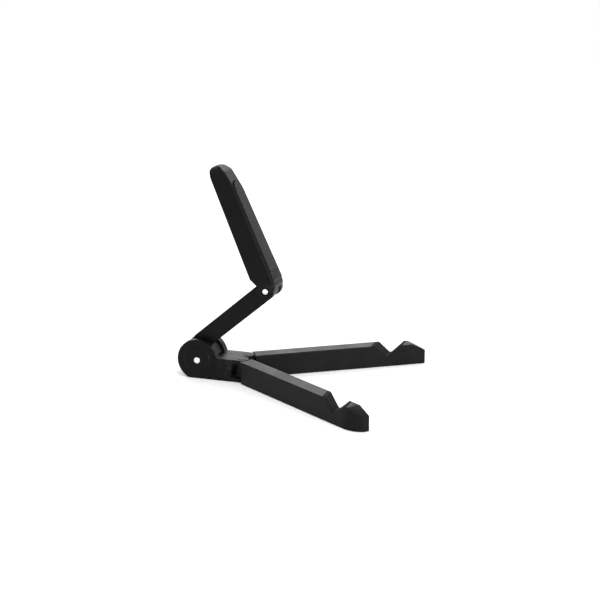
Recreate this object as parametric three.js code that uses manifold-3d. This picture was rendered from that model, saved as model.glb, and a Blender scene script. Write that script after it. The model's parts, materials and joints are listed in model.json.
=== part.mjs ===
// Fold-up tablet stand: a hub block with two ears, a swing arm, a padded head and two legs.
// Millimetres. +Z is up, the front is -Y, and the hub pin and the head pin run along X.
// Each sub-part is drawn in a frame of its own, then nested groups set the angles of the open stand.
import * as THREE from 'three';
import { mergeVertices } from 'three/addons/utils/BufferGeometryUtils.js';
import Module from 'manifold-3d';

const wasm = await Module();
wasm.setup();

// Driving dimensions.
const GAP = 0.3; // clearance between neighbouring pieces
const FOOT_PROUD = 0.3; // the rubber feet hold the plastic this high off the table
const LEG_WIDTH = 12.5;
const LEG_TOP = 18.5;
const LEG_LENGTH = 150.8; // hinge axis to toe
const LEG_SPREAD = THREE.MathUtils.degToRad(33.4); // each leg from straight ahead
const LEG_PIN_X = LEG_WIDTH / 2 + 0.2; // hinge axes stand either side of the middle plane
const HUB_WIDTH = 25;
const HUB_PIN_Y = 36.2; // behind the leg hinges
const HUB_PIN_Z = 15.4;
const EAR_RADIUS = 17.1;
const BOSS_RADIUS = { foot: 11.5, top: 9.3 }; // a round boss on each ear, with a rounded edge
const BOSS_PROUD = 0.9;
const BLOCK_FRONT_Y = LEG_WIDTH / 2 + GAP;
const SLOT_HALF = 6.2; // half the slot between the ears, and between the cheeks of the head
const ARM_HALF = 5.2;
const ARM_RISE = THREE.MathUtils.degToRad(41); // body of the arm above level
const ARM_TOP = { root: 17, tip: 16.3 }; // upper edge above the hub pin, square to the arm
const ARM_ROOT_RADIUS = 15.4;
const HEAD_PIN_U = 84.6; // head pin in the arm's frame
const HEAD_PIN_V = 8.4;
const HEAD_LEAN = THREE.MathUtils.degToRad(24.5); // face of the head behind upright
const HEAD_FRONT = 9.9; // face of the head in front of its pin
const HEAD_LENGTH = 105.7; // pin to free end
const HEAD_BACK = { low: -7.9, high: -5 }; // its back, at the knuckle and at the free end
const HEAD_HALF_LOW = 11.4;
const HEAD_HALF_HIGH = 9.4;
const HEAD_KNUCKLE_RADIUS = 7.1;
const LEG_KNUCKLE_RADIUS = 4.8;
const LEG_SHOULDER = { top: 5.6, side: 7.4 }; // where a leg's full width starts, from its hinge axis
const PIN_RADIUS = 1.8;
const PIN_HEAD_RADIUS = { hub: 2.65, head: 2.3 };
const WASHER_THICKNESS = 0.5;
const PLATE_TOP = 18.5; // upper hinge plate over the leg roots
const PLATE_UNDER = 15.4;
const LOWER_PLATE_TOP = 3.2;
const facets = (radius) => (radius > 6 ? 32 : 16); // in a full turn

function standard(color, roughness, metalness) {
  return new THREE.MeshStandardMaterial({ color, roughness, metalness });
}

const materials = {
  shell: () => standard(0x17181a, 0.48, 0),
  cover: () => standard(0x141517, 0.6, 0),
  rubber: () => standard(0x232426, 0.85, 0),
  nylon: () => standard(0x1b1b1a, 0.5, 0),
  steel: () => standard(0xc9ccd0, 0.28, 1),
  blackSteel: () => standard(0x1c1d1e, 0.42, 0.5),
};

// --- Solids -------------------------------------------------------------------------------------

function solid(geometry) {
  const bare = geometry.clone();
  bare.deleteAttribute('normal');
  bare.deleteAttribute('uv');
  const welded = mergeVertices(bare, 1e-4);
  const triangles = Array.from(welded.index.array);
  const kept = [];
  for (let i = 0; i < triangles.length; i += 3) {
    const [a, b, c] = triangles.slice(i, i + 3);
    if (a !== b && b !== c && c !== a) kept.push(a, b, c);
  }
  return new wasm.Manifold(new wasm.Mesh({
    numProp: 3,
    vertProperties: new Float32Array(welded.attributes.position.array),
    triVerts: new Uint32Array(kept),
  }));
}

function mesh(name, body, material) {
  const { vertProperties, triVerts } = body.getMesh();
  const geometry = new THREE.BufferGeometry();
  geometry.setAttribute('position', new THREE.BufferAttribute(vertProperties, 3));
  geometry.setIndex(new THREE.BufferAttribute(triVerts, 1));
  geometry.computeVertexNormals();
  const piece = new THREE.Mesh(geometry, material);
  piece.name = name;
  return piece;
}

const cut = (body, ...tools) => tools.reduce((rest, tool) => rest.subtract(tool), body);
const join = (body, ...others) => others.reduce((sum, other) => sum.add(other), body);

// Side views are drawn with u towards the front (-Y) and v up (+Z), and run along X.
const SIDE_VIEW = new THREE.Matrix4().makeBasis(
  new THREE.Vector3(0, -1, 0), new THREE.Vector3(0, 0, 1), new THREE.Vector3(-1, 0, 0));
// Front views are drawn with x across and v up, and run along -Y.
const FRONT_VIEW = new THREE.Matrix4().makeBasis(
  new THREE.Vector3(1, 0, 0), new THREE.Vector3(0, 0, 1), new THREE.Vector3(0, -1, 0));

function extrude(shape, from, to) {
  const settings = { depth: to - from, bevelEnabled: false, curveSegments: 5 };
  return new THREE.ExtrudeGeometry(shape, settings).translate(0, 0, from);
}

const sideBar = (shape, from, to) => solid(extrude(shape, -to, -from).applyMatrix4(SIDE_VIEW));
const plan = (shape, from, to) => solid(extrude(shape, from, to));
const frontSlab = (shape, from, to) => solid(extrude(shape, from, to).applyMatrix4(FRONT_VIEW));

const polygon = (points) => new THREE.Shape(points.map(([x, y]) => new THREE.Vector2(x, y)));
const rectangle = (x0, y0, x1, y1) => polygon([[x0, y0], [x1, y0], [x1, y1], [x0, y1]]);

function disc(x, y, radius) {
  const points = [];
  const count = facets(radius);
  for (let i = 0; i < count; i += 1) {
    const turn = (i * 2 * Math.PI) / count;
    points.push([x + radius * Math.cos(turn), y + radius * Math.sin(turn)]);
  }
  return polygon(points);
}

// A closed outline whose corners are rounded: each point is [x, y, radius].
function rounded(points) {
  const corners = points.map(([x, y]) => new THREE.Vector2(x, y));
  const shape = new THREE.Shape();
  points.forEach(([, , radius = 0], i) => {
    const here = corners[i];
    const back = corners.at(i - 1).clone().sub(here).normalize();
    const ahead = corners[(i + 1) % corners.length].clone().sub(here).normalize();
    const half = Math.acos(THREE.MathUtils.clamp(back.dot(ahead), -1, 1)) / 2;
    const run = radius / Math.tan(half);
    const start = here.clone().addScaledVector(back, run);
    const end = here.clone().addScaledVector(ahead, run);
    if (i === 0) shape.moveTo(start.x, start.y);
    else shape.lineTo(start.x, start.y);
    if (radius > 0) {
      const inward = back.clone().add(ahead).normalize();
      const centre = here.clone().addScaledVector(inward, radius / Math.sin(half));
      const from = Math.atan2(start.y - centre.y, start.x - centre.x);
      const to = Math.atan2(end.y - centre.y, end.x - centre.x);
      shape.absarc(centre.x, centre.y, radius, from, to, back.cross(ahead) > 0);
    }
  });
  shape.closePath();
  return shape;
}

// A turned solid from [radius, height] points that start and end on its axis, which is +Z.
function turned(profile) {
  const count = facets(Math.max(...profile.map(([r]) => r)));
  const points = profile.map(([r, h]) => new THREE.Vector2(r, h));
  return new THREE.LatheGeometry(points, count).rotateX(Math.PI / 2);
}

const upright = (profile, x, y) => solid(turned(profile).translate(x, y, 0));

function crosswise(profile, u = 0, v = 0) {
  return solid(turned(profile).rotateY(Math.PI / 2).translate(0, -u, v));
}

const facing = (profile, x, v) => solid(turned(profile).rotateX(Math.PI / 2).translate(x, 0, v));
const rod = (radius, from, to) => [[0, from], [radius, from], [radius, to], [0, to]];

// A rivet has a domed head at each end, and its seat is the hole that takes it.
function rivetProfile(shaft, head, from, to) {
  const dome = 0.35;
  const thick = 0.9;
  return [[0, from], [head - dome, from], [head, from + dome], [head, from + thick], [shaft, from + thick],
    [shaft, to - thick], [head, to - thick], [head, to - dome], [head - dome, to], [0, to]];
}

function rivetSeat(shaft, head, from, to) {
  const sink = 0.9 + GAP;
  const hole = shaft + GAP;
  const mouth = head + GAP;
  return [[0, from - 1], [mouth, from - 1], [mouth, from + sink], [hole, from + sink],
    [hole, to - sink], [mouth, to - sink], [mouth, to + 1], [0, to + 1]];
}

function screwProfile(shaft, head, tip, under, top) {
  const shank = [[0, tip], [shaft * 0.4, tip], [shaft, tip + 1], [shaft, under]];
  return [...shank, [head, under], [head, top], [0, top]];
}

function washer(name, body, x) {
  const inner = PIN_RADIUS + GAP;
  const half = WASHER_THICKNESS / 2;
  const ring = [[inner, -half], [body, -half], [body, half], [inner, half], [inner, -half]];
  const piece = mesh(name, crosswise(ring), materials.nylon());
  piece.position.x = x;
  return piece;
}

const WASHER_X = (SLOT_HALF + ARM_HALF) / 2;

// --- Hub block: model frame, hinge axes of the legs at Y = 0 --------------------------------------

function hingePlateOutline() {
  const radius = LEG_WIDTH / 2 - 0.35;
  const side = LEG_PIN_X + radius;
  const shape = new THREE.Shape();
  shape.moveTo(-side, BLOCK_FRONT_Y + 1);
  shape.lineTo(-side, 0);
  shape.absarc(-LEG_PIN_X, 0, radius, Math.PI, 2 * Math.PI, false);
  shape.lineTo(LEG_PIN_X - radius, 0);
  shape.absarc(LEG_PIN_X, 0, radius, Math.PI, 2 * Math.PI, false);
  shape.lineTo(side, BLOCK_FRONT_Y + 1);
  shape.closePath();
  return shape;
}

const LEG_RIVET = { shaft: 1.75, head: 2.8, from: 0.5, to: 18.8 };
const STOP_PEG_REACH = 3.5; // each leg stops against a peg under the upper hinge plate
const STOP_PEG_RADIUS = 0.65;
const FOOT_CENTRE_Y = 14.2;
const HUB_PIN_PROUD = 0.5; // of the ears; it ends just below the faces of the bosses

// Both bosses as one turned bar through the ears: each edge is a quarter of an ellipse.
function bossProfile() {
  const edge = [];
  for (let i = 0; i <= 3; i += 1) {
    const turn = (i * Math.PI) / 6;
    const r = BOSS_RADIUS.top + (BOSS_RADIUS.foot - BOSS_RADIUS.top) * Math.cos(turn);
    edge.push([r, HUB_WIDTH / 2 + BOSS_PROUD * Math.sin(turn)]);
  }
  const mirrored = edge.map(([r, x]) => [r, -x]).reverse();
  return [[0, mirrored[0][1]], ...mirrored, ...edge, [0, edge.at(-1)[1]]];
}

function baseBlock() {
  const half = HUB_WIDTH / 2;
  const back = -HUB_PIN_Y;
  const ear = sideBar(disc(back, HUB_PIN_Z, EAR_RADIUS), -half, half);
  const blockShape = rectangle(back, 0, -BLOCK_FRONT_Y, LEG_TOP);
  const bosses = crosswise(bossProfile(), back, HUB_PIN_Z);
  const plates = [[FOOT_PROUD, LOWER_PLATE_TOP], [PLATE_UNDER, PLATE_TOP]]
    .map(([from, to]) => plan(hingePlateOutline(), from, to));
  const peg = rod(STOP_PEG_RADIUS, PLATE_UNDER - 1.2, PLATE_TOP - 1);
  const pegs = [-1, 1].map((side) => upright(peg, side * LEG_PIN_X, STOP_PEG_REACH));
  const whole = join(ear, sideBar(blockShape, -half, half), bosses, ...plates, ...pegs);

  const below = plan(rectangle(-half - 5, -20, half + 5, 60), -10, FOOT_PROUD);
  const reach = ARM_ROOT_RADIUS + 0.5;
  const slotRound = sideBar(disc(back, HUB_PIN_Z, reach), -SLOT_HALF, SLOT_HALF);
  const slotBack = sideBar(rectangle(back - 20, -1, back + 6, 40), -SLOT_HALF, SLOT_HALF);
  const slotTop = sideBar(rectangle(back, HUB_PIN_Z, back + reach, 40), -SLOT_HALF, SLOT_HALF);
  const slotLip = sideBar(rectangle(back, LEG_TOP, back + EAR_RADIUS + 1, 40), -SLOT_HALF, SLOT_HALF);
  const pinEnd = half + HUB_PIN_PROUD;
  const pinSeat = crosswise(rivetSeat(PIN_RADIUS, PIN_HEAD_RADIUS.hub, -pinEnd, pinEnd), back, HUB_PIN_Z);
  const legSeats = [-1, 1].map((side) =>
    upright(rivetSeat(LEG_RIVET.shaft, LEG_RIVET.head, LEG_RIVET.from, LEG_RIVET.to), side * LEG_PIN_X, 0));
  const footRecess = plan(footOutline(GAP), 0, 1.9);
  const core = plan(rectangle(-7, FOOT_CENTRE_Y - 3.4, 7, FOOT_CENTRE_Y + 3.4), 0, 15.6);
  return cut(whole, below, slotRound, slotBack, slotTop, slotLip, pinSeat, ...legSeats, footRecess, core);
}

function footOutline(grow) {
  const halfX = 9.4 + grow;
  const halfY = 4.9 + grow;
  const corner = 3;
  return rounded([
    [-halfX, FOOT_CENTRE_Y - halfY, corner], [halfX, FOOT_CENTRE_Y - halfY, corner],
    [halfX, FOOT_CENTRE_Y + halfY, corner], [-halfX, FOOT_CENTRE_Y + halfY, corner]]);
}

function hub() {
  const group = new THREE.Group();
  const end = HUB_WIDTH / 2 + HUB_PIN_PROUD;
  const rivet = crosswise(rivetProfile(PIN_RADIUS, PIN_HEAD_RADIUS.hub, -end, end), -HUB_PIN_Y, HUB_PIN_Z);
  group.add(mesh('base_block', baseBlock(), materials.shell()));
  group.add(mesh('base_foot', plan(footOutline(0), 0, 1.6), materials.rubber()));
  group.add(mesh('hub_pin', rivet, materials.steel()));
  return group;
}

// --- Leg: hinge axis at the origin, toe towards -Y, outer face on the given side (-1 left, 1 right) -

// The top of the toe runs along X when the leg is open: [forward of the hinge, up, corner radius].
const TOE_TOP = [
  [70, LEG_TOP, 0],
  [92, LEG_TOP, 1.9], // rear edge of the notch
  [100.5, 8.1, 1.6], // foot of the notch
  [110.3, 17.5, 1.5], // hook
  [140, 17.3, 0]];
// A facet slopes off the front of the hook: where it meets the leg's inner edge, and its fall in mm
// for each mm forwards and outwards when the leg is open.
const TOE_FACET = { forward: 120.2, up: 17.4, fall: { forward: 0.41, outward: 0.31 } };
const GRIP_FROM = 89.6; // the grip starts on top of the leg, behind the notch
const GRIP_TO = 111.6; // and ends on top of the hook
const GRIP_INSET = 1.3;
const GRIP_THICKNESS = 1.3;
const COVER_FROM = 9.5;
const COVER_TO = 101;
const COVER_HALF = 4.7;
const LEG_SCREW_AT = 55;
const TOE_FOOT_AT = 136;
const ROOT_BOTTOM = 4.2;
const ROOT_TOP = 15.1;
const LEG_NECK_HALF = 3.4; // the narrow part between the knuckle and the full width

// Plan of a leg, drawn the given distance inside its true edge: the toe's outer corner is a long curve.
function legPlan(side, inset) {
  const half = LEG_WIDTH / 2 - inset;
  const toe = -LEG_LENGTH + inset;
  const inner = Math.max(1.2 - inset, 0.3);
  const outer = { wide: 2 * half - inner, long: 17 - inset };
  const shape = new THREE.Shape();
  shape.moveTo(side * half, -LEG_SHOULDER.top - inset);
  shape.lineTo(side * half, toe + outer.long);
  for (let i = 1; i <= 8; i += 1) {
    const turn = (i * Math.PI) / 16;
    const across = half - outer.wide * (1 - Math.cos(turn));
    shape.lineTo(side * across, toe + outer.long * (1 - Math.sin(turn)));
  }
  shape.lineTo(side * (-half + inner), toe);
  shape.quadraticCurveTo(-side * half, toe, -side * half, toe + inner);
  shape.lineTo(-side * half, -LEG_SHOULDER.top - inset);
  shape.closePath();
  return shape;
}

// A bar that lies along X when the leg is open, drawn in the frame of the closed leg.
function acrossOpenLeg(shape, side) {
  const geometry = extrude(shape, -LEG_LENGTH, LEG_LENGTH).applyMatrix4(SIDE_VIEW);
  return solid(geometry.rotateZ(-side * LEG_SPREAD));
}

// All the space above the toe's top, lowered square to it by the given depth, from `start` forwards.
function aboveToe(depth, start) {
  const corners = TOE_TOP.map(([u, v]) => new THREE.Vector2(u, v));
  const square = corners.slice(1).map((corner, i) => {
    const run = corner.clone().sub(corners[i]).normalize();
    return new THREE.Vector2(run.y, -run.x);
  });
  const lowered = TOE_TOP.map(([u, v, radius], i) => {
    const before = square[Math.max(i - 1, 0)];
    const after = square[Math.min(i, square.length - 1)];
    const shift = before.clone().add(after).multiplyScalar(depth / (1 + before.dot(after)));
    const valley = before.cross(after) > 0;
    return [u + shift.x, v + shift.y, valley ? radius + depth : Math.max(radius - depth, 0)];
  });
  const profile = [[start, lowered[0][1], 0], ...lowered.slice(1)];
  return rounded([...profile, [lowered.at(-1)[0], 40, 0], [start, 40, 0]]);
}

// All the space over the facet at the front of the toe.
function aboveFacet(side) {
  const innerEdge = LEG_PIN_X - (LEG_WIDTH / 2) / Math.cos(LEG_SPREAD);
  const across = innerEdge + TOE_FACET.forward * Math.tan(LEG_SPREAD) - LEG_PIN_X;
  const square = new THREE.Vector3(side * TOE_FACET.fall.outward, -TOE_FACET.fall.forward, 1).normalize();
  const turn = new THREE.Quaternion().setFromUnitVectors(new THREE.Vector3(0, 0, 1), square);
  const space = new THREE.BoxGeometry(80, 80, 40).translate(0, 0, 20).applyQuaternion(turn);
  space.translate(side * across, -TOE_FACET.forward, TOE_FACET.up);
  return solid(space.rotateZ(-side * LEG_SPREAD));
}

function legBody(side) {
  const above = acrossOpenLeg(aboveToe(0, TOE_TOP[0][0]), side);
  const undercut = plan(rectangle(-LEG_WIDTH, -LEG_SHOULDER.side, LEG_WIDTH, 0), -1, ROOT_TOP - 1);
  const bar = cut(plan(legPlan(side, 0), FOOT_PROUD, LEG_TOP), above, undercut, aboveFacet(side));
  const neckShape = rectangle(-LEG_NECK_HALF, -LEG_SHOULDER.side - 1, LEG_NECK_HALF, 0);
  const neck = plan(neckShape, FOOT_PROUD, LEG_TOP);
  const body = join(bar, neck, upright(rod(LEG_KNUCKLE_RADIUS, FOOT_PROUD, LEG_TOP), 0, 0));
  const relief = LEG_WIDTH / 2 + 0.35;
  const rootCuts = [[0, ROOT_BOTTOM], [ROOT_TOP, LEG_TOP + 1]]
    .map(([from, to]) => upright(rod(relief, from, to), 0, 0));
  const bore = upright(rod(LEG_RIVET.shaft + GAP, 0, LEG_TOP), 0, 0);
  const recess = plan(coverOutline(GAP), 0, 2.9);
  const bayCount = 3; // hollows from below, with ribs between them
  const bays = [];
  const first = COVER_FROM + 1.5;
  const pitch = (COVER_TO - 1.5 - first) / bayCount;
  for (let i = 0; i < bayCount; i += 1) {
    const from = first + i * pitch + (i > 0 ? 0.8 : 0);
    const to = first + (i + 1) * pitch - (i < bayCount - 1 ? 0.8 : 0);
    bays.push(plan(rectangle(-4.1, -to, 4.1, -from), 0, 16.2));
  }
  const gripRecess = gripBand(side, GAP);
  const toeRecess = upright(rod(4.3, 0, 1.9), 0, -TOE_FOOT_AT);
  const boss = upright(rod(2.6, 2.9, 16.6), 0, -LEG_SCREW_AT);
  const pilot = upright(rod(1.4, 0, 10.4), 0, -LEG_SCREW_AT);
  const cored = join(cut(body, ...bays, recess), boss);
  return cut(cored, pilot, ...rootCuts, bore, stopGroove(side), gripRecess, toeRecess);
}

// The groove over the leg root lets the stop peg travel from the closed end to the open end.
function stopGroove(side) {
  const halfWide = STOP_PEG_RADIUS + GAP;
  const spare = Math.asin(halfWide / STOP_PEG_REACH);
  const closed = Math.PI / 2;
  const open = closed - side * LEG_SPREAD;
  const low = Math.min(closed, open) - spare;
  const high = Math.max(closed, open) + spare;
  const shape = new THREE.Shape();
  shape.absarc(0, 0, STOP_PEG_REACH + halfWide, low, high, false);
  shape.absarc(0, 0, STOP_PEG_REACH - halfWide, high, low, true);
  shape.closePath();
  return plan(shape, ROOT_TOP - 1.4, ROOT_TOP + 1);
}

function coverOutline(grow) {
  const half = COVER_HALF + grow;
  const corner = 1.5;
  return rounded([
    [-half, -COVER_TO - grow, corner], [half, -COVER_TO - grow, corner],
    [half, -COVER_FROM + grow, corner], [-half, -COVER_FROM + grow, corner]]);
}

function legCover() {
  const plate = plan(coverOutline(0), 0.6, 2.6);
  const hole = upright([[0, 0], [2.4, 0], [2.4, 1.8], [1.4, 1.8], [1.4, 3], [0, 3]], 0, -LEG_SCREW_AT);
  return cut(plate, hole);
}

// The space of the grip, a rubber strip let into the toe: it lines the notch and turns over the hook.
// `grow` widens it at its ends, sides and underneath.
function gripBand(side, grow) {
  const above = acrossOpenLeg(aboveToe(GRIP_THICKNESS + grow, GRIP_FROM - grow), side);
  const length = acrossOpenLeg(rectangle(GRIP_FROM - grow, 0, GRIP_TO + grow, 40), side);
  return above.intersect(length).intersect(plan(legPlan(side, GRIP_INSET - grow), 0, 40));
}

function legGrip(side) {
  const leg = plan(legPlan(side, 0), 0, LEG_TOP);
  return cut(gripBand(side, 0).intersect(leg), acrossOpenLeg(aboveToe(0, TOE_TOP[0][0]), side));
}

function legScrew() {
  const screw = turned(screwProfile(1.1, 2.1, 0, 7.8, 8.8)).rotateX(Math.PI);
  return solid(screw.translate(0, -LEG_SCREW_AT, 9.5));
}

function leg(name, side) {
  const group = new THREE.Group();
  const washerRing = [[2.05, 3.5], [4.6, 3.5], [4.6, 3.9], [2.05, 3.9], [2.05, 3.5]];
  const rivet = rivetProfile(LEG_RIVET.shaft, LEG_RIVET.head, LEG_RIVET.from, LEG_RIVET.to);
  group.add(mesh(`${name}_leg`, legBody(side), materials.shell()));
  group.add(mesh(`${name}_leg_cover`, legCover(), materials.cover()));
  group.add(mesh(`${name}_leg_screw`, legScrew(), materials.steel()));
  group.add(mesh(`${name}_grip`, legGrip(side), materials.rubber()));
  group.add(mesh(`${name}_foot`, upright(rod(4, 0, 1.6), 0, -TOE_FOOT_AT), materials.rubber()));
  group.add(mesh(`${name}_leg_pin`, upright(rivet, 0, 0), materials.blackSteel()));
  group.add(mesh(`${name}_leg_washer`, upright(washerRing, 0, 0), materials.nylon()));
  group.position.x = side * LEG_PIN_X;
  group.rotation.z = side * LEG_SPREAD;
  return group;
}

// --- Arm: hub pin at the origin, u along the arm, v square to it ----------------------------------

const lowerEdge = (u) => 2.8 - u * 0.0157;
const ARM_WAIST = 75; // from here the underside rises to the rounded end
const ARM_COVER_FROM = 19;
const ARM_COVER_TO = 73;
const ARM_COVER_HALF = 3.9;
const ARM_SCREWS = { lower: 27, upper: 65 };

function armStrip(from, to, low, high) {
  return polygon([[from, lowerEdge(from) + low], [to, lowerEdge(to) + low],
    [to, lowerEdge(to) + high], [from, lowerEdge(from) + high]]);
}

function armBody() {
  const end = HEAD_PIN_U - 0.6;
  const endRadius = 7.2;
  const root = sideBar(disc(0, 0, ARM_ROOT_RADIUS), -ARM_HALF, ARM_HALF);
  const barShape = polygon([
    [0, lowerEdge(0)], [ARM_WAIST, lowerEdge(ARM_WAIST)], [end, ARM_TOP.tip - 2 * endRadius],
    [end, ARM_TOP.tip], [9, ARM_TOP.root], [0, ARM_ROOT_RADIUS]]);
  const tip = sideBar(disc(end, ARM_TOP.tip - endRadius, endRadius), -ARM_HALF, ARM_HALF);
  const bar = join(root, sideBar(barShape, -ARM_HALF, ARM_HALF), tip);
  const recessHalf = ARM_COVER_HALF + GAP;
  const recessShape = armStrip(ARM_COVER_FROM - GAP, ARM_COVER_TO + GAP, -2, 1.9);
  const recess = sideBar(recessShape, -recessHalf, recessHalf);
  const wall = 2; // beside the cavity
  const inside = ARM_HALF - wall;
  const cavity = sideBar(armStrip(ARM_COVER_FROM + 1.4, ARM_COVER_TO - 1.4, 0, 11), -inside, inside);
  const bosses = Object.values(ARM_SCREWS)
    .map((u) => sideBar(armStrip(u - 2.4, u + 2.4, 1.9, 11.4), -inside - 0.2, inside + 0.2));
  const pilots = Object.values(ARM_SCREWS).map((u) => armUpright(rod(1.15, 0, 8.6), u));
  const bores = [[0, 0], [HEAD_PIN_U, HEAD_PIN_V]]
    .map(([u, v]) => crosswise(rod(PIN_RADIUS + GAP, -20, 20), u, v));
  return cut(join(cut(bar, recess, cavity), ...bosses), ...pilots, ...bores);
}

// Turned about an axis square to the arm, its heights counted from the lower edge.
const armUpright = (profile, u) => solid(turned(profile).translate(0, -u, lowerEdge(u)));

function armCover() {
  const strip = armStrip(ARM_COVER_FROM, ARM_COVER_TO, 0.1, 1.6);
  const plate = sideBar(strip, -ARM_COVER_HALF, ARM_COVER_HALF);
  const holes = Object.values(ARM_SCREWS).map((u) =>
    armUpright([[0, -1], [2.1, -1], [2.1, 1.1], [1.15, 1.1], [1.15, 3], [0, 3]], u));
  return cut(plate, ...holes);
}

function arm() {
  const group = new THREE.Group();
  group.add(mesh('arm_shell', armBody(), materials.shell()));
  group.add(mesh('arm_cover', armCover(), materials.cover()));
  Object.entries(ARM_SCREWS).forEach(([place, u]) => {
    const screw = turned(screwProfile(0.85, 1.8, 0, 7.2, 7.8)).rotateX(Math.PI);
    screw.translate(0, -u, lowerEdge(u) + 8);
    group.add(mesh(`arm_screw_${place}`, solid(screw), materials.steel()));
  });
  group.add(washer('hub_washer_left', 9.5, -WASHER_X));
  group.add(washer('hub_washer_right', 9.5, WASHER_X));
  group.position.set(0, HUB_PIN_Y, HUB_PIN_Z);
  group.rotation.x = -ARM_RISE;
  return group;
}

// --- Head: pin at the origin, face towards -Y, free end up -----------------------------------------

const SLOT_FRONT = 7.5; // a web of plastic closes the front of the slot, round the end of the arm
const TAPER_FROM = 12;
// The free end seen from the side: the front leans back from one height and bends over at another.
const HEAD_SLOPE = { from: 82, to: 7.4, bend: 98.8 };
const HEAD_TIP = 3.2; // where the bend reaches the end
const HEAD_EDGE = 2.1; // radius along both front edges
const PAD_INSET = 2.7;
const PAD_LOW = 12.5;
const PAD_HIGH = 92; // where the pad's recess would end if it had no rim
const HEAD_SCREWS = { lower: 30, upper: 78 };
const PLATE = { back: 5.3, front: 7.1 };
const PAD = { back: 7.4, front: 10.2 }; // proud of the rim
const HEAD_PIN_END = HEAD_HALF_LOW - 0.2; // each end is sunk a little into the cheek

// Front outline of the head from `low` to `high`, drawn the given distance inside its true edge.
function headOutline(inset, low, high, corner) {
  const round = HEAD_HALF_HIGH - inset;
  const springing = high - HEAD_HALF_HIGH;
  const half = HEAD_HALF_LOW - inset;
  const start = Math.max(low, TAPER_FROM);
  const shape = new THREE.Shape();
  shape.moveTo(half - corner, low);
  shape.quadraticCurveTo(half, low, half, low + corner);
  if (start > low + corner) shape.lineTo(half, start);
  shape.lineTo(round, springing);
  shape.absarc(0, springing, round, 0, Math.PI, false);
  if (start > low + corner) shape.lineTo(-half, start);
  shape.lineTo(-half, low + corner);
  shape.quadraticCurveTo(-half, low, -half + corner, low);
  shape.closePath();
  return shape;
}

// Side outline of the head, with its front drawn back by the given distance.
function headSide(back) {
  return rounded([
    [-3, 4], [HEAD_FRONT - back, 3.5, 2.2], [HEAD_FRONT - back, HEAD_SLOPE.from, 40],
    [HEAD_SLOPE.to - back, HEAD_SLOPE.bend, 5], [HEAD_TIP - back, HEAD_LENGTH, 5],
    [HEAD_BACK.high, HEAD_LENGTH, 2.6], [HEAD_BACK.low, 13.3, 2.5], [-5.1, 7]]);
}

// A convex solid with round front edges. `layer` draws it narrower by `inset` at each side and shorter
// by `back` at the front.
function roundFront(layer) {
  const layers = [0, 0.25, 0.5, 0.75, 1].map((share) => {
    const turn = share * Math.PI / 2;
    return layer(HEAD_EDGE * (1 - Math.cos(turn)), HEAD_EDGE * (1 - Math.sin(turn)));
  });
  return wasm.Manifold.hull(layers);
}

function headBody() {
  const half = HEAD_HALF_LOW;
  const blade = roundFront((inset, back) => {
    const outline = frontSlab(headOutline(inset, -20, HEAD_LENGTH + inset, 1), -20, 20);
    return sideBar(headSide(back), -half, half).intersect(outline);
  });
  const knuckle = sideBar(disc(0, 0, HEAD_KNUCKLE_RADIUS), -half, half);
  const lip = roundFront((inset, back) => sideBar(disc(2.5, 3.2, 6.8 - back), inset - half, half - inset));
  const whole = join(blade, knuckle, lip);

  const slotShape = polygon([
    [-20, -20], [SLOT_FRONT, -20], [SLOT_FRONT, 5.4], [3, 9.2], [0, 9.4], [-20, 16.1]]);
  const slot = sideBar(slotShape, -SLOT_HALF, SLOT_HALF);
  const seat = crosswise(rivetSeat(PIN_RADIUS, PIN_HEAD_RADIUS.head, -HEAD_PIN_END, HEAD_PIN_END));
  const mouth = headOutline(PAD_INSET - GAP, PAD_LOW - GAP, PAD_HIGH, 2.5);
  const opening = frontSlab(mouth, PLATE.back - GAP, 20);
  const floor = (v) => HEAD_BACK.low + 2.3 + (v - 17) * 0.0445;
  const depth = polygon([
    [PLATE.back, PAD_LOW + 2], [PLATE.back, HEAD_LENGTH], [floor(94), HEAD_LENGTH],
    [floor(94), 94], [floor(17), 17]]);
  const well = frontSlab(headOutline(PAD_INSET + 1.5, PAD_LOW + 1.6, PAD_HIGH, 2.5), -20, 20);
  const cavity = sideBar(depth, -half, half).intersect(well);
  const bosses = Object.values(HEAD_SCREWS)
    .map((v) => facing(rod(2.6, floor(v) - 0.6, PLATE.back - GAP), 0, v));
  const pilots = Object.values(HEAD_SCREWS).map((v) => facing(rod(1.2, -2.4, 20), 0, v));
  return cut(join(cut(whole, opening, cavity), ...bosses), slot, seat, ...pilots);
}

function headPlate() {
  const plate = frontSlab(headOutline(PAD_INSET, PAD_LOW, PAD_HIGH, 2.2), PLATE.back, PLATE.front);
  const holes = Object.values(HEAD_SCREWS).map((v) =>
    facing([[0, 0], [1.2, 0], [1.2, 6], [2.2, 6], [2.2, 9], [0, 9]], 0, v));
  return cut(plate, ...holes);
}

// The pad has shallow grooves across its face.
function headPad() {
  const pad = frontSlab(headOutline(PAD_INSET, PAD_LOW, PAD_HIGH, 2.2), PAD.back, PAD.front);
  const grooves = [];
  for (let v = PAD_LOW + 5; v < PAD_HIGH - 4; v += 5) {
    grooves.push(frontSlab(rectangle(-20, v - 0.5, 20, v + 0.5), PAD.front - 0.4, PAD.front + 1));
  }
  return cut(pad, ...grooves);
}

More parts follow.
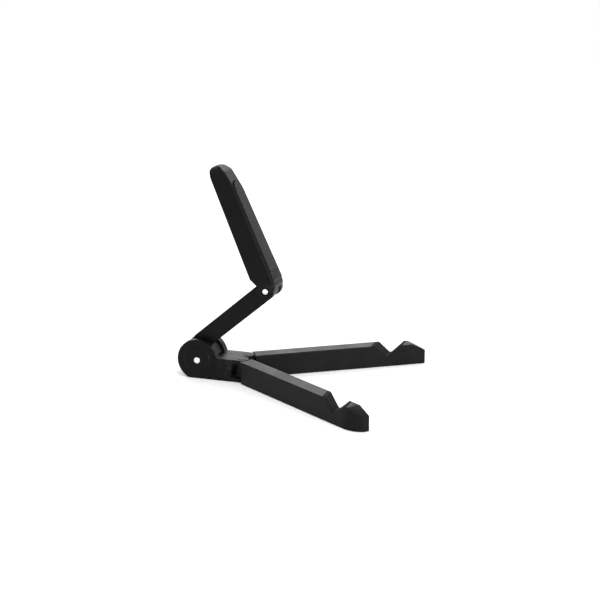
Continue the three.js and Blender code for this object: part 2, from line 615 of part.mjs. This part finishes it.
function head() {
  const group = new THREE.Group();
  const rivet = crosswise(rivetProfile(PIN_RADIUS, PIN_HEAD_RADIUS.head, -HEAD_PIN_END, HEAD_PIN_END));
  group.add(mesh('head_shell', headBody(), materials.shell()));
  group.add(mesh('head_plate', headPlate(), materials.cover()));
  group.add(mesh('head_pad', headPad(), materials.rubber()));
  group.add(mesh('head_pin', rivet, materials.steel()));
  Object.entries(HEAD_SCREWS).forEach(([place, v]) => {
    const screw = facing(screwProfile(0.9, 1.9, -2, 6.3, 7), 0, v);
    group.add(mesh(`head_screw_${place}`, screw, materials.steel()));
  });
  group.add(washer('head_washer_left', 6.2, -WASHER_X));
  group.add(washer('head_washer_right', 6.2, WASHER_X));
  group.position.set(0, -HEAD_PIN_U, HEAD_PIN_V);
  group.rotation.x = ARM_RISE - HEAD_LEAN;
  return group;
}

// --- The stand, with its origin on the table under the middle of its footprint ---------------------

const swing = arm();
swing.add(head());

const stand = new THREE.Group();
stand.name = 'tablet_stand';
stand.add(hub(), leg('left', -1), leg('right', 1), swing);

stand.updateMatrixWorld(true);
const footprint = new THREE.Box3().setFromObject(stand, true);
stand.position.y = -(footprint.min.y + footprint.max.y) / 2;

export default stand;
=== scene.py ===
"""Fold-up tablet stand in black plastic: looks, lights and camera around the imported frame."""

import itertools
import json
import math

import bmesh
import bpy
import numpy as np
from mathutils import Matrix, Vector

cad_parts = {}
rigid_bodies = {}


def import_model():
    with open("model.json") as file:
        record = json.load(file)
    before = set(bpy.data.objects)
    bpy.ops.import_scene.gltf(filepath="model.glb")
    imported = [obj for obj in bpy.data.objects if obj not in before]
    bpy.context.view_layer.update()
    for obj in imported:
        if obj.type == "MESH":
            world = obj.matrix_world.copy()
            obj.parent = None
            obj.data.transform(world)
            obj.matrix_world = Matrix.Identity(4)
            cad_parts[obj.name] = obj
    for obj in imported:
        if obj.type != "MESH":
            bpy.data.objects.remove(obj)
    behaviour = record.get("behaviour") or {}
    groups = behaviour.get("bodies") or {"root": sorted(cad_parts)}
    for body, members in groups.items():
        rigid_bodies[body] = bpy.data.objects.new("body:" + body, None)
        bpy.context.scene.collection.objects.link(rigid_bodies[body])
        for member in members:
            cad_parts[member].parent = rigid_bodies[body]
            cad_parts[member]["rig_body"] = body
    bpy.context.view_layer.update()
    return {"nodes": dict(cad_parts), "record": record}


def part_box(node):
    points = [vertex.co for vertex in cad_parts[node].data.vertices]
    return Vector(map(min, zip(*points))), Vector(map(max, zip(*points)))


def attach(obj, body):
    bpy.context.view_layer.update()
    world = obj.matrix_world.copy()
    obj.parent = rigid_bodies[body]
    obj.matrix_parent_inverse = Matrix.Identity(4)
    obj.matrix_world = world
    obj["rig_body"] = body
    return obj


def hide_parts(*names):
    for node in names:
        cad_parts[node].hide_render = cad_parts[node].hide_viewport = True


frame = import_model()
nodes = frame["nodes"]

MM = 0.001

# Edges that turn by more than this, in degrees, are rounded on mouldings and on turned pieces.
MOULDED_CORNER = 28
TURNED_CORNER = 40
SLIVER = 40  # two such edges that meet at less than this angle are left sharp
TURNED_EDGE = 0.04 * MM
AROUND = 48  # sides of a turned piece
RIVET_SHAFT = {"tilt": 1.8 * MM, "leg": 1.75 * MM}
SCREW_SHAFT = {"leg": 1.1 * MM, "arm": 0.85 * MM, "head": 0.9 * MM}
CROSS_REACH = {"leg": 1.1 * MM, "arm": 0.95 * MM, "head": 1.0 * MM}  # centre to tip of a screw's cross
WASHER_BORE = {"tilt": 2.1 * MM, "leg": 2.05 * MM}
GROOVE_DEPTH = 0.16 * MM

# Where the camera stands: it looks at a point in front of the hub and over it.
CAMERA_TURN = math.radians(-71.39)
CAMERA_LIFT = math.radians(15.55)
CAMERA_DISTANCE = 1.131
AIM_FORWARD = 0.08354
AIM_UP = 0.05456
LENS = 86.2

# --- Materials ------------------------------------------------------------------------------------


class Nodes:
    """A material's node tree with short calls for adding and linking nodes."""

    def __init__(self, name):
        self.material = bpy.data.materials.new(name)
        self.material.use_nodes = True
        self.tree = self.material.node_tree
        self.shader = self.tree.nodes["Principled BSDF"]
        self.coords = self.add("ShaderNodeTexCoord").outputs["Object"]

    def add(self, kind, **settings):
        node = self.tree.nodes.new(kind)
        for key, value in settings.items():
            setattr(node, key, value)
        return node

    def link(self, source, target):
        self.tree.links.new(source, target)

    def noise(self, size, detail=3.0, roughness=0.5, stretch=None):
        """Noise whose features are about `size` metres across."""
        texture = self.add("ShaderNodeTexNoise")
        texture.inputs["Scale"].default_value = 1 / size
        texture.inputs["Detail"].default_value = detail
        texture.inputs["Roughness"].default_value = roughness
        source = self.coords
        if stretch:
            mapping = self.add("ShaderNodeMapping")
            mapping.inputs["Scale"].default_value = stretch
            self.link(self.coords, mapping.inputs["Vector"])
            source = mapping.outputs["Vector"]
        self.link(source, texture.inputs["Vector"])
        return texture.outputs["Fac"]

    def ramp(self, value, low, high, dark=0.0, light=1.0):
        """Maps value from low..high to dark..light."""
        node = self.add("ShaderNodeMapRange")
        node.inputs["From Min"].default_value = low
        node.inputs["From Max"].default_value = high
        node.inputs["To Min"].default_value = dark
        node.inputs["To Max"].default_value = light
        self.link(value, node.inputs["Value"])
        return node.outputs["Result"]

    def math(self, operation, first, second):
        """Joins two values, each a number or a socket."""
        node = self.add("ShaderNodeMath", operation=operation, use_clamp=False)
        for socket, value in zip(node.inputs, (first, second)):
            if isinstance(value, float):
                socket.default_value = value
            else:
                self.link(value, socket)
        return node.outputs["Value"]

    def blend(self, share, first, second):
        """Mixes two colours by the socket `share`: each colour is a tuple or a socket."""
        node = self.add("ShaderNodeMix", data_type="RGBA")
        self.link(share, node.inputs["Factor"])
        for key, value in (("A", first), ("B", second)):
            socket = [s for s in node.inputs if s.name == key and s.type == "RGBA"][0]
            if isinstance(value, tuple):
                socket.default_value = (*value, 1)
            else:
                self.link(value, socket)
        return [s for s in node.outputs if s.type == "RGBA"][0]

    def edges(self, low=0.52, high=0.62):
        """1 along convex edges, 0 on flats."""
        return self.ramp(self.add("ShaderNodeNewGeometry").outputs["Pointiness"], low, high)

    def bump(self, height, strength, distance):
        """Roughens the surface: `distance` is the full depth in metres."""
        node = self.add("ShaderNodeBump")
        node.inputs["Strength"].default_value = strength
        node.inputs["Distance"].default_value = distance
        self.link(height, node.inputs["Height"])
        self.link(node.outputs["Normal"], self.shader.inputs["Normal"])

    def set(self, **values):
        """Sets the shader's inputs to numbers or sockets, and gives the finished material."""
        for key, value in values.items():
            socket = self.shader.inputs[key.replace("_", " ")]
            if isinstance(value, bpy.types.NodeSocket):
                self.link(value, socket)
            else:
                socket.default_value = value
        return self.material


def moulded_plastic(name, dark, light, roughness, grain, specular):
    """Black plastic from a spark-eroded mould: fine grain, faint clouds, rubbed edges, light scuffs."""
    m = Nodes(name)
    cloud = m.noise(0.018, detail=4)
    fine = m.noise(0.00028, detail=2, roughness=0.6)
    pits = m.noise(0.0009, detail=3)
    scuff = m.noise(0.0022, detail=6, roughness=0.7, stretch=(1.0, 7.0, 5.0))
    worn = m.math("MULTIPLY", m.edges(), m.ramp(m.noise(0.006, detail=5), 0.42, 0.66))
    scratched = m.ramp(scuff, 0.64, 0.74, 0.0, 0.35)
    body = m.blend(m.ramp(cloud, 0.35, 0.65), dark, light)
    rubbed, scuffed = (0.022, 0.022, 0.023), (0.02, 0.02, 0.021)
    edged = m.blend(m.math("MULTIPLY", worn, 0.5), body, rubbed)
    colour = m.blend(m.math("MULTIPLY", scratched, 0.3), edged, scuffed)
    rough = m.math("ADD", m.ramp(cloud, 0.3, 0.7, roughness - 0.05, roughness + 0.05),
                   m.ramp(fine, 0.35, 0.65, -0.05, 0.05))
    rough = m.math("SUBTRACT", rough, m.math("MULTIPLY", worn, 0.12))
    rough = m.math("ADD", rough, m.math("MULTIPLY", scratched, 0.2))
    m.bump(m.math("ADD", fine, m.math("MULTIPLY", pits, 0.7)), 0.35, grain)
    return m.set(Base_Color=colour, Roughness=rough, Specular_IOR_Level=specular)


def soft_rubber(name, dark, light, roughness, specular):
    """Matt elastomer with a chalky bloom and a very fine pebble."""
    m = Nodes(name)
    cloud = m.noise(0.009, detail=5, roughness=0.6)
    pebble = m.noise(0.00045, detail=2)
    dust = m.ramp(m.noise(0.0016, detail=6, roughness=0.75), 0.6, 0.78, 0.0, 0.5)
    body = m.blend(m.ramp(cloud, 0.34, 0.66), dark, light)
    dusty = (0.035, 0.035, 0.034)
    colour = m.blend(m.math("MULTIPLY", dust, 0.3), body, dusty)
    rough = m.math("ADD", m.ramp(cloud, 0.3, 0.7, roughness - 0.06, roughness + 0.04),
                   m.math("MULTIPLY", dust, 0.08))
    m.bump(m.math("ADD", pebble, m.math("MULTIPLY", cloud, 0.2)), 0.4, 0.00006)
    return m.set(Base_Color=colour, Roughness=rough, Specular_IOR_Level=specular)


def plated_steel(name):
    """Bright zinc-plated steel with fine drawn marks and dull spots."""
    m = Nodes(name)
    spots = m.noise(0.0011, detail=5, roughness=0.65)
    marks = m.noise(0.00018, detail=2, stretch=(0.12, 1.0, 1.0))
    tarnish = m.ramp(spots, 0.45, 0.7)
    worn = m.math("MULTIPLY", m.edges(), 0.3)
    colour = m.blend(tarnish, (0.78, 0.79, 0.81), (0.6, 0.6, 0.6))
    colour = m.blend(worn, colour, (0.88, 0.88, 0.88))
    rough = m.math("ADD", m.ramp(spots, 0.35, 0.7, 0.22, 0.38), m.ramp(marks, 0.3, 0.7, -0.04, 0.04))
    m.bump(m.math("ADD", marks, m.math("MULTIPLY", spots, 0.4)), 0.3, 0.00002)
    return m.set(Base_Color=colour, Roughness=rough, Metallic=1.0)


def painted_steel(name):
    """Satin black paint over steel, rubbed through to grey along its rims."""
    m = Nodes(name)
    orange_peel = m.noise(0.0006, detail=2)
    cloud = m.noise(0.0024, detail=5, roughness=0.65)
    rubbed = m.math("MULTIPLY", m.edges(0.54, 0.66), m.ramp(cloud, 0.5, 0.72))
    colour = m.blend(m.ramp(cloud, 0.3, 0.7), (0.008, 0.008, 0.0084), (0.014, 0.014, 0.0145))
    colour = m.blend(m.math("MULTIPLY", rubbed, 0.5), colour, (0.12, 0.12, 0.12))
    m.bump(orange_peel, 0.3, 0.00003)
    return m.set(Base_Color=colour, Roughness=m.ramp(cloud, 0.3, 0.7, 0.34, 0.46), Metallic=0.2,
                 Specular_IOR_Level=0.3)


def black_nylon(name):
    """Smooth black nylon, faintly mottled, rubbed brighter along its edges."""
    m = Nodes(name)
    mottle = m.noise(0.0016, detail=4)
    fine = m.noise(0.0003, detail=2)
    colour = m.blend(m.ramp(mottle, 0.35, 0.65), (0.003, 0.003, 0.0032), (0.0055, 0.0055, 0.0057))
    colour = m.blend(m.math("MULTIPLY", m.edges(), 0.4), colour, (0.015, 0.015, 0.0155))
    m.bump(m.math("ADD", fine, mottle), 0.25, 0.00003)
    return m.set(Base_Color=colour, Roughness=m.ramp(mottle, 0.3, 0.7, 0.38, 0.52),
                 Specular_IOR_Level=0.15)


SHELL = moulded_plastic("shell_plastic", (0.0019, 0.0019, 0.002), (0.0028, 0.0028, 0.003),
                        roughness=0.38, grain=0.05 * MM, specular=0.09)
COVER = moulded_plastic("cover_plastic", (0.0017, 0.0017, 0.0018), (0.0025, 0.0025, 0.0027),
                        roughness=0.5, grain=0.06 * MM, specular=0.09)
PAD = soft_rubber("pad_rubber", (0.0062, 0.0062, 0.0065), (0.0092, 0.0092, 0.0095),
                  roughness=0.5, specular=0.13)
GRIP = soft_rubber("grip_rubber", (0.0026, 0.0026, 0.0027), (0.0042, 0.0042, 0.0043),
                   roughness=0.66, specular=0.07)
FOOT = soft_rubber("foot_rubber", (0.004, 0.004, 0.0042), (0.0066, 0.0066, 0.0069),
                   roughness=0.72, specular=0.08)
STEEL = plated_steel("bright_steel")
BLACK_STEEL = painted_steel("black_steel")
NYLON = black_nylon("nylon")

# --- Pieces ---------------------------------------------------------------------------------------


def linked(name, bm, material, node):
    """Makes the object from its mesh data: it stands for the CAD node, on the same body."""
    mesh = bpy.data.meshes.new(name)
    bm.normal_update()
    bm.to_mesh(mesh)
    bm.free()
    mesh.materials.append(material)
    mesh.shade_smooth()
    piece = bpy.data.objects.new(name, mesh)
    bpy.context.scene.collection.objects.link(piece)
    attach(piece, nodes[node]["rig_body"])
    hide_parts(node)
    return piece


def mark_edges(bm, corner):
    """Marks the edges to round: all that turn by over `corner` degrees, unless two meet in a sliver."""
    weights = bm.edges.layers.float.new("bevel_weight_edge")
    sharp = {edge for edge in bm.edges if edge.calc_face_angle(0) > math.radians(corner)}
    slivers = set()
    for vertex in bm.verts:
        around = [edge for edge in vertex.link_edges if edge in sharp]
        for pair in itertools.combinations(around, 2):
            first, second = (edge.other_vert(vertex).co - vertex.co for edge in pair)
            if first.angle(second) < math.radians(SLIVER):
                slivers.update(pair)
    for edge in sharp - slivers:
        edge[weights] = 1


def soften(piece, width, segments=3):
    """Rounds a piece's marked edges and keeps its flats flat."""
    bevel = piece.modifiers.new("edge_radius", "BEVEL")
    bevel.limit_method = "WEIGHT"
    bevel.width = width
    bevel.segments = segments
    bevel.use_clamp_overlap = False
    bevel.miter_outer = "MITER_ARC"
    smooth = piece.modifiers.new("flat_faces", "WEIGHTED_NORMAL")
    smooth.keep_sharp = True
    smooth.weight = 90
    return piece


def moulded(node, name, material, width):
    """A piece with the CAD node's shape, its facets merged and its edges rounded."""
    bm = bmesh.new()
    bm.from_mesh(nodes[node].data)
    bmesh.ops.remove_doubles(bm, verts=bm.verts, dist=0.002 * MM)
    bmesh.ops.dissolve_limit(bm, angle_limit=math.radians(1), verts=bm.verts, edges=bm.edges)
    mark_edges(bm, MOULDED_CORNER)
    return soften(linked(name, bm, material, node), width)


def grooved_pad(node, name):
    """The pad, with its grooves drawn shallower. Its face is the back_rest mount."""
    rest = next(mount for mount in frame["record"]["mounts"] if mount["name"] == "back_rest")
    face, normal = Vector(rest["pos_m"]), Vector(rest["axis"])
    pad = moulded(node, name, PAD, GROOVE_DEPTH / 2)
    deepest = 0.6 * MM  # what lies deeper belongs to the pad's back
    for vertex in pad.data.vertices:
        sunk = (face - vertex.co).dot(normal)
        if GROOVE_DEPTH / 2 < sunk < deepest:
            vertex.co += normal * (sunk - GROOVE_DEPTH)
    return pad


def turned_frame(node):
    """Centre, axis, half length and radius of a turned CAD node: the axis points to its wider end."""
    points = np.array([vertex.co for vertex in nodes[node].data.vertices])
    points = np.unique(points.round(7), axis=0)
    centre = points.mean(axis=0)
    spread, axes = np.linalg.eigh(np.cov((points - centre).T))
    odd = 0 if spread[1] - spread[0] > spread[2] - spread[1] else 2
    axis = axes[:, odd]
    along = (points - centre) @ axis
    centre = centre + axis * (along.max() + along.min()) / 2
    along = (points - centre) @ axis
    radii = np.linalg.norm(points - centre - np.outer(along, axis), axis=1)
    if along[radii > 0.95 * radii.max()].mean() < 0:
        axis = -axis
    return Vector(centre), Vector(axis), (along.max() - along.min()) / 2, radii.max()


def arc(centre_r, centre_h, radius, start, end, steps):
    """Points [r, h] on an arc between two angles in degrees, counted from the outward direction."""
    turns = [math.radians(start + (end - start) * i / steps) for i in range(steps + 1)]
    return [(centre_r + radius * math.cos(t), centre_h + radius * math.sin(t)) for t in turns]


def turned(node, name, material, outline, recess=0):
    """A smooth turned piece in a CAD node's place, with a cross recess in its top if `recess` says so.

    outline(half, radius) lists its points [r, h] from low to high, on round the bore where it has one.
    """
    centre, axis, half, radius = turned_frame(node)
    profile = outline(half, radius)
    closed = profile[0][0] > 0
    bm = bmesh.new()
    rings = []
    for r, h in profile:
        count = AROUND if r > 0 else 1
        turns = [math.tau * i / AROUND for i in range(count)]
        rings.append([bm.verts.new((r * math.cos(t), r * math.sin(t), h)) for t in turns])
    pairs = list(zip(rings, rings[1:] + rings[:1] if closed else rings[1:]))
    for low, high in pairs:
        for i in range(AROUND):
            j = (i + 1) % AROUND
            corners = [low[i % len(low)], low[j % len(low)], high[j % len(high)], high[i % len(high)]]
            bm.faces.new(list(dict.fromkeys(corners)))
    if recess:
        cross_recess(bm, rings[-1], recess)
    turn = axis.to_track_quat("Z", "Y").to_matrix()
    bmesh.ops.transform(bm, verts=bm.verts, matrix=turn.to_4x4())
    bmesh.ops.translate(bm, verts=bm.verts, vec=centre)
    bmesh.ops.recalc_face_normals(bm, faces=bm.faces)
    mark_edges(bm, TURNED_CORNER)
    return soften(linked(name, bm, material, node), TURNED_EDGE, segments=2)


def cross_recess(bm, rim, reach):
    """Closes a screw head's top ring with a face that has a tapered cross sunk into it."""
    top = rim[0].co.z
    arm = reach * 0.27
    corner = [(reach, -arm), (reach, arm), (arm, arm)]
    rows = []
    for scale, height in ((1.0, top), (0.72, top - reach * 0.8)):
        row = []
        for quarter in range(4):
            turn = quarter * math.pi / 2
            c, s = round(math.cos(turn)), round(math.sin(turn))
            for x, y in corner:
                row.append(bm.verts.new(((x * c - y * s) * scale, (x * s + y * c) * scale, height)))
        rows.append(row)
    mouth, bottom = rows
    count = len(mouth)
    for i in range(count):
        j = (i + 1) % count
        bm.faces.new((mouth[i], mouth[j], bottom[j], bottom[i]))
    bm.faces.new(bottom)
    edges = []
    for ring in (mouth, rim):
        edges += [bm.edges.get(pair) for pair in zip(ring, ring[1:] + ring[:1])]
    bmesh.ops.triangle_fill(bm, edges=edges, use_beauty=True)


def rivet_outline(shaft):
    """Each end has a rolled rim round a shallow dish, as a spun rivet has."""
    def outline(half, radius):
        rim = 0.34 * MM
        dish = 0.32 * MM
        thick = 0.9 * MM
        seat = half - thick
        head = [(radius - 0.1 * MM, seat)] + arc(radius - rim, half - rim, rim, -10, 130, 8)
        bowl = arc(0, half - dish + 1.9 * radius, 1.9 * radius, -65, -90, 5)
        bowl = [(r, h) for r, h in bowl if r < radius - 1.9 * rim]
        upper = [(shaft, seat)] + head + bowl[:-1] + [(0, bowl[-1][1])]
        return [(r, -h) for r, h in reversed(upper)] + upper
    return outline


def screw_outline(shaft):
    """A pan head on a pointed shank with rolled threads."""
    def outline(half, radius):
        edge = 0.3 * MM
        under = half - 0.62 * MM
        pitch = 0.62 * MM
        root = shaft * 0.78
        points = [(0, -half), (shaft * 0.3, -half + 0.15 * MM)]
        height = -half + 0.9 * MM
        while height + pitch < under - 0.5 * MM:
            points += [(root, height), (shaft, height + pitch * 0.45), (shaft, height + pitch * 0.55)]
            height += pitch
        points += [(root, height), (root, under), (radius - 0.08 * MM, under)]
        return points + arc(radius - edge, half - edge, edge, -5, 90, 4)
    return outline


def washer_outline(bore):
    """A flat ring with broken edges."""
    def outline(half, radius):
        chamfer = min(0.1 * MM, half * 0.5)
        outer = [(radius - chamfer, -half), (radius, -half + chamfer),
                 (radius, half - chamfer), (radius - chamfer, half)]
        inner = [(bore + chamfer, half), (bore, half - chamfer),
                 (bore, -half + chamfer), (bore + chamfer, -half)]
        return outer + inner
    return outline


def foot_outline(half, radius):
    """A rubber button with a round edge and a moulded ring in its lower face."""
    edge = 0.45 * MM
    ring = radius * 0.62
    wide, deep = 0.35 * MM, 0.3 * MM
    lower = [(0, -half), (ring - wide, -half), (ring, -half + deep), (ring + wide, -half)]
    return lower + arc(radius - edge, -half + edge, edge, -90, 0, 5) + [(radius, half), (0, half)]


moulded("base_block", "hub_moulding", SHELL, 0.35 * MM)
moulded("base_foot", "base_foot_rubber", FOOT, 0.3 * MM)
moulded("arm_shell", "arm_moulding", SHELL, 0.5 * MM)
moulded("arm_cover", "arm_cover_plate", COVER, 0.25 * MM)
moulded("head_shell", "head_moulding", SHELL, 0.3 * MM)
moulded("head_plate", "head_pad_plate", COVER, 0.2 * MM)
grooved_pad("head_pad", "head_pad_rubber")
turned("hub_pin", "hub_rivet", STEEL, rivet_outline(RIVET_SHAFT["tilt"]))
turned("head_pin", "head_rivet", STEEL, rivet_outline(RIVET_SHAFT["tilt"]))
for side in ("left", "right"):
    moulded(f"{side}_leg", f"{side}_leg_moulding", SHELL, 0.5 * MM)
    moulded(f"{side}_leg_cover", f"{side}_leg_cover_plate", COVER, 0.25 * MM)
    moulded(f"{side}_grip", f"{side}_grip_rubber", GRIP, 0.25 * MM)
    turned(f"{side}_foot", f"{side}_foot_rubber", FOOT, foot_outline)
    turned(f"{side}_leg_pin", f"{side}_leg_rivet", BLACK_STEEL, rivet_outline(RIVET_SHAFT["leg"]))
    turned(f"{side}_leg_washer", f"{side}_leg_ring", NYLON, washer_outline(WASHER_BORE["leg"]))
    turned(f"{side}_leg_screw", f"{side}_leg_cross_screw", STEEL, screw_outline(SCREW_SHAFT["leg"]),
           recess=CROSS_REACH["leg"])
    turned(f"hub_washer_{side}", f"hub_ring_{side}", NYLON, washer_outline(WASHER_BORE["tilt"]))
    turned(f"head_washer_{side}", f"head_ring_{side}", NYLON, washer_outline(WASHER_BORE["tilt"]))
for place in ("lower", "upper"):
    for owner in ("arm", "head"):
        turned(f"{owner}_screw_{place}", f"{owner}_cross_screw_{place}", STEEL,
               screw_outline(SCREW_SHAFT[owner]), recess=CROSS_REACH[owner])

# --- Floor, light and camera ----------------------------------------------------------------------


def floor():
    """A white table top that runs out of sight, faintly mottled like paper."""
    reach = 30
    bm = bmesh.new()
    bmesh.ops.create_grid(bm, x_segments=8, y_segments=8, size=reach)
    mesh = bpy.data.meshes.new("floor")
    bm.to_mesh(mesh)
    bm.free()
    piece = bpy.data.objects.new("floor", mesh)
    bpy.context.scene.collection.objects.link(piece)
    m = Nodes("floor_paper")
    grain = m.noise(0.002, detail=4)
    colour = m.blend(m.ramp(m.noise(0.4), 0.3, 0.7), (0.93, 0.93, 0.93), (0.95, 0.95, 0.95))
    m.bump(grain, 0.05, 0.0001)
    mesh.materials.append(m.set(Base_Color=colour, Roughness=0.9, Specular_IOR_Level=0.2))


def panel(name, place, target, size, power):
    """A soft rectangular light: places and sizes in metres, power in watts."""
    data = bpy.data.lights.new(name, "AREA")
    data.shape = "RECTANGLE"
    data.size, data.size_y = size
    data.energy = power
    lamp = bpy.data.objects.new(name, data)
    bpy.context.scene.collection.objects.link(lamp)
    lamp.location = place
    lamp.rotation_euler = (Vector(target) - Vector(place)).to_track_quat("-Z", "Y").to_euler()


def studio():
    """A white room, a key light over the camera's side, a low one in front and a broad panel behind."""
    world = bpy.data.worlds.new("studio")
    world.use_nodes = True
    world.node_tree.nodes["Background"].inputs["Color"].default_value = (1, 1, 1, 1)
    world.node_tree.nodes["Background"].inputs["Strength"].default_value = 1.07
    bpy.context.scene.world = world
    stand = (0, 0, 0.05)
    legs = (0, 0, 0.03)
    panel("key_light", (-0.46, -0.34, 1.04), stand, size=(0.5, 0.5), power=4)
    panel("front_light", (-0.9, -1.0, 0.16), legs, size=(0.6, 0.2), power=14)
    panel("back_light", (1.5, 0.3, 0.75), stand, size=(1.8, 0.9), power=10)


def camera():
    """A long lens at the photograph's viewing angle."""
    data = bpy.data.cameras.new("camera")
    data.lens = LENS
    data.sensor_width = 36
    data.clip_start = 0.02
    data.clip_end = 100
    view = bpy.data.objects.new("camera", data)
    bpy.context.scene.collection.objects.link(view)
    level = math.cos(CAMERA_LIFT)
    back = Vector((math.sin(CAMERA_TURN) * level, -math.cos(CAMERA_TURN) * level, math.sin(CAMERA_LIFT)))
    low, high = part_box("hub_pin")
    hub = (low + high) / 2
    aim = Vector((0, hub.y - AIM_FORWARD, hub.z + AIM_UP))
    view.location = aim + back * CAMERA_DISTANCE
    view.rotation_mode = "QUATERNION"
    view.rotation_quaternion = (-back).to_track_quat("-Z", "Y")
    bpy.context.scene.camera = view


floor()
studio()
camera()
bpy.context.scene.view_settings.view_transform = "Standard"
